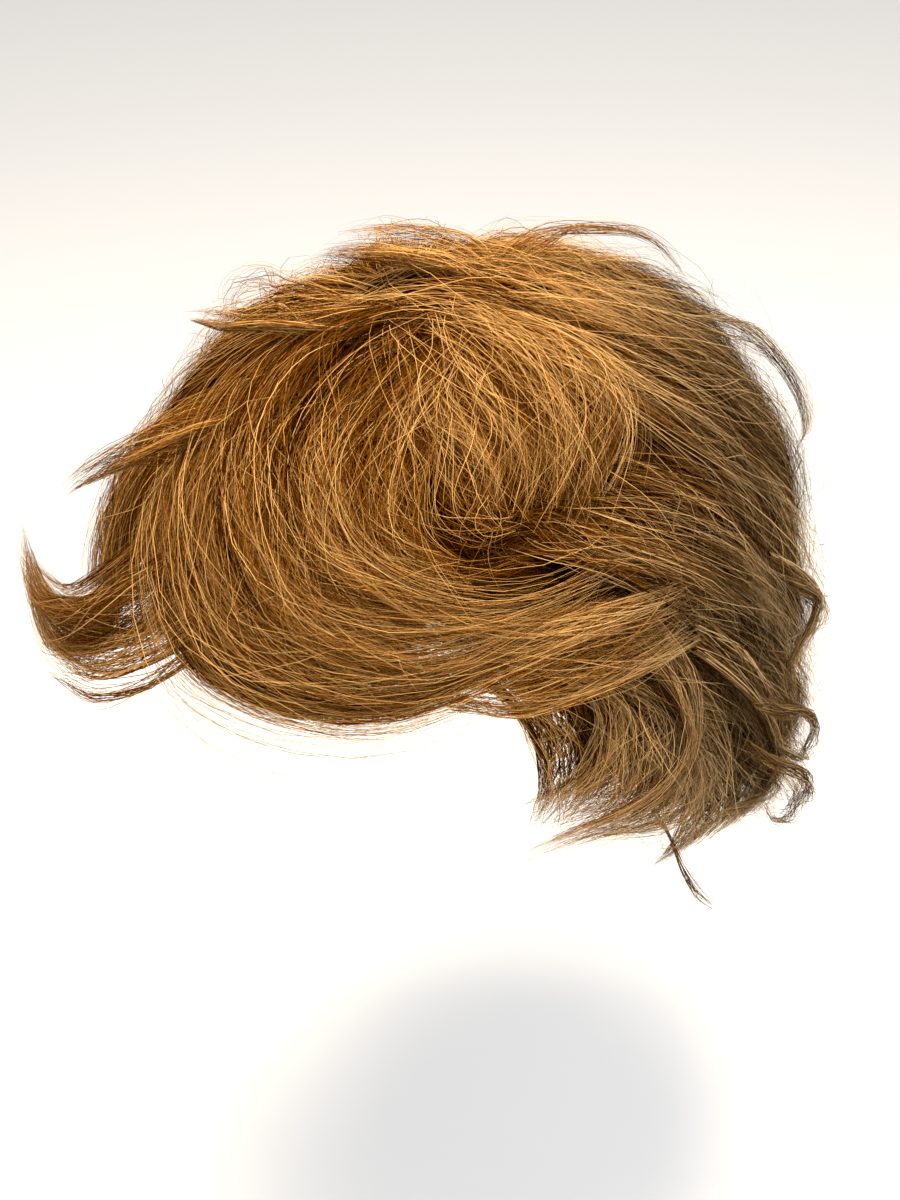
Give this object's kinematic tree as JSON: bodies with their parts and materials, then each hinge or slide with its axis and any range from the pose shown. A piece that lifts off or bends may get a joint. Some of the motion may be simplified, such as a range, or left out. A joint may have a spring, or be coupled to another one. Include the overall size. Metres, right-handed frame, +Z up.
{
  "type": "short wig",
  "caption": "Short layered wig: a stretch cap that fits over the head, with golden brown hair swept from a crown whorl into a curved fringe, flipped ends and curls over the ears.",
  "frame": {"origin": "inside of the cap at the crown, where the top of the head bears", "axes": "+Z up out of the crown, -Y the way the face looks, +X the wearer's left"},
  "size_m": [0.214, 0.2426, 0.1942],
  "materials": {
    "cap_cloth": "matt knitted stretch net",
    "golden_hair": "soft satin strands",
    "ash_brown_hair": "soft satin strands"
  },
  "bodies": {
    "root": {"wig_cap": "cap_cloth", "crown_hair": "golden_hair", "fringe": "golden_hair", "left_side_hair": "ash_brown_hair", "right_side_hair": "ash_brown_hair", "back_hair": "ash_brown_hair", "nape_hair": "ash_brown_hair"}
  },
  "joints": []
}
